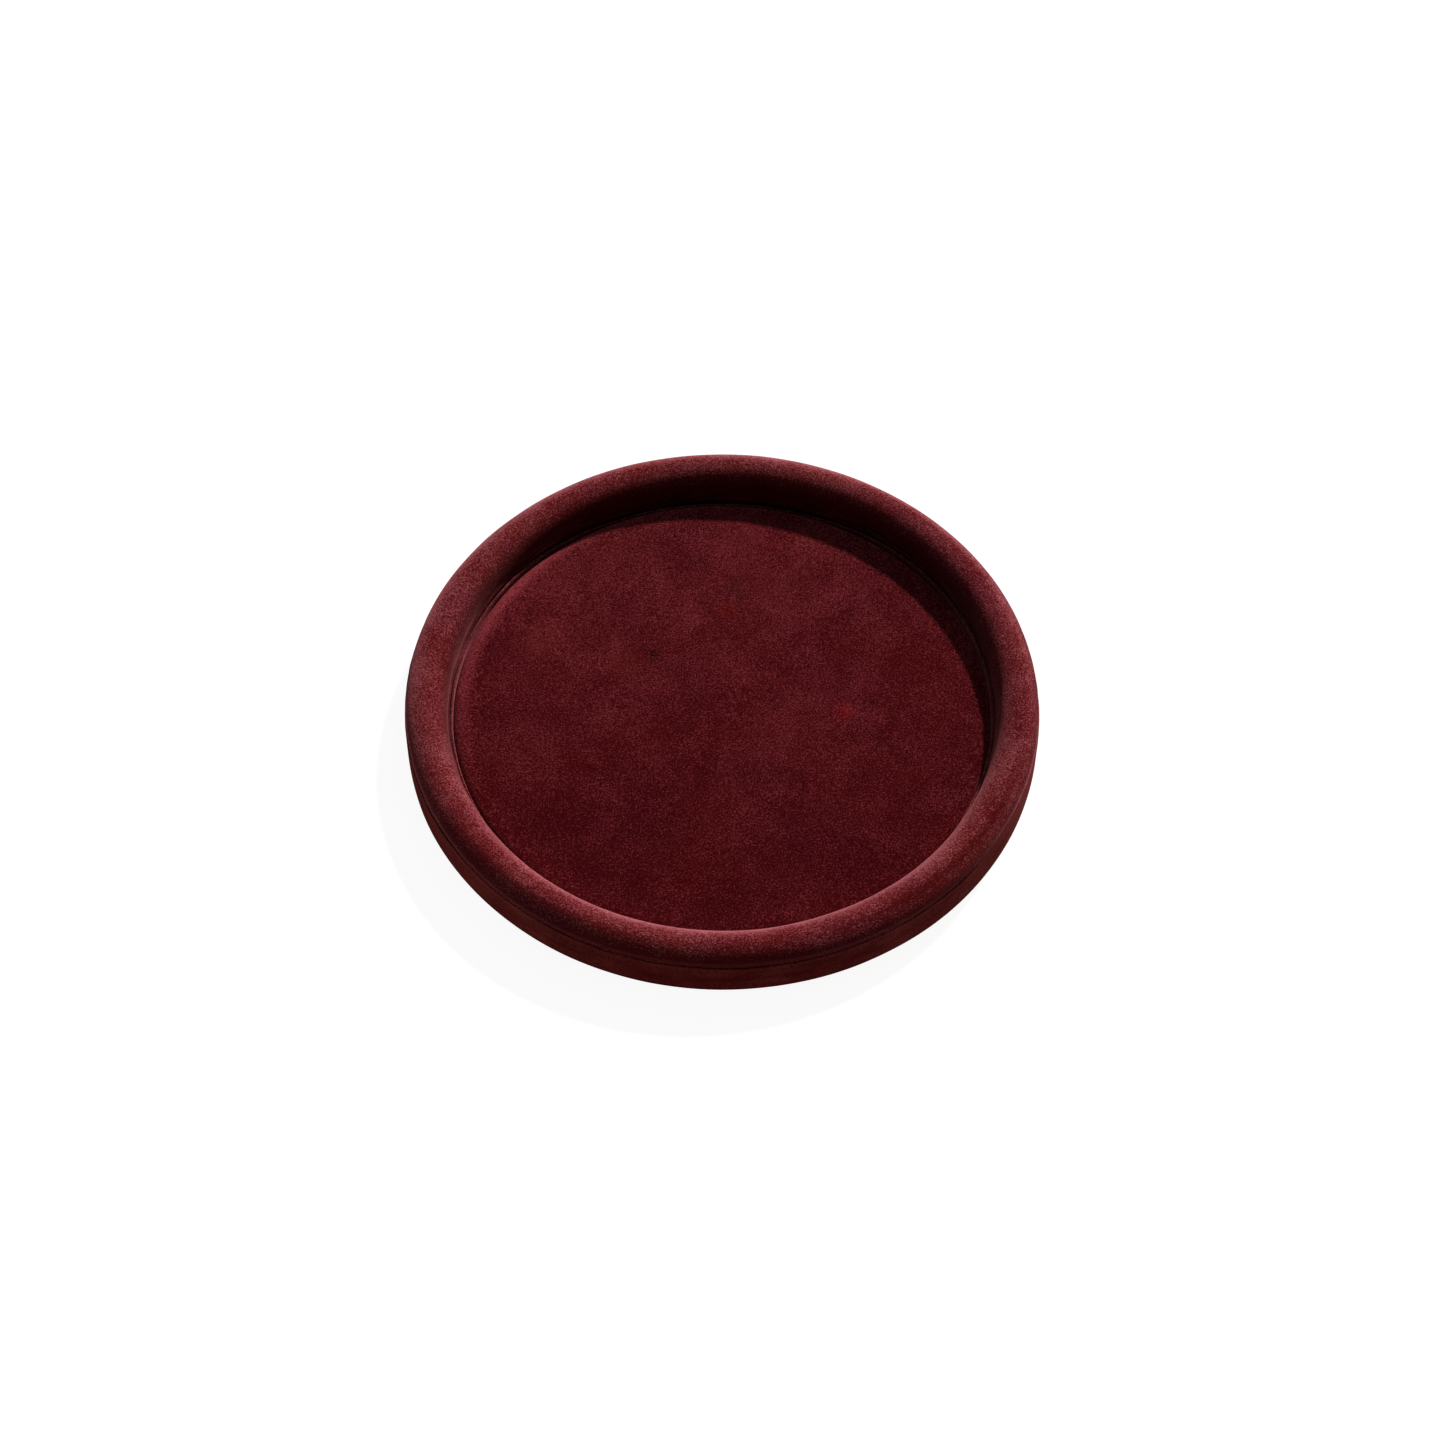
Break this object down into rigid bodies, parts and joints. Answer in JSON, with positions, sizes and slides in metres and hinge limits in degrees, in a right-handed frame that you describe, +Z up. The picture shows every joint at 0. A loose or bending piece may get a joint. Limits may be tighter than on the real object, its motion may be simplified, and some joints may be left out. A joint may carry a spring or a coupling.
{
  "type": "offering plate",
  "caption": "Low round offering plate covered in dark red suede, with a flat padded floor and a thick padded rim, standing flat on its felt underside.",
  "frame": {"origin": "middle of the underside, on the surface that the plate stands on", "axes": "+Z up through the plate's middle; the plate is the same all round, so +X and +Y are any two directions across it"},
  "size_m": [0.3, 0.3, 0.026],
  "materials": {
    "suede": "matte",
    "suede_band": "matte",
    "suede_strip": "matte",
    "suede_floor": "matte",
    "thread": "matte",
    "felt": "matte",
    "foam": "matte",
    "wadding": "matte",
    "wood": "matte",
    "card": "matte",
    "pins": "satin"
  },
  "bodies": {
    "root": {"base_board": "wood", "rim_core": "wood", "core_pins": "pins", "rim_padding": "foam", "rim_cover": "suede", "side_band": "suede_band", "seam_thread": "thread", "foot_strip": "suede_strip", "floor_card": "card", "floor_wadding": "wadding", "floor_cover": "suede_floor", "underside_felt": "felt"}
  },
  "joints": []
}
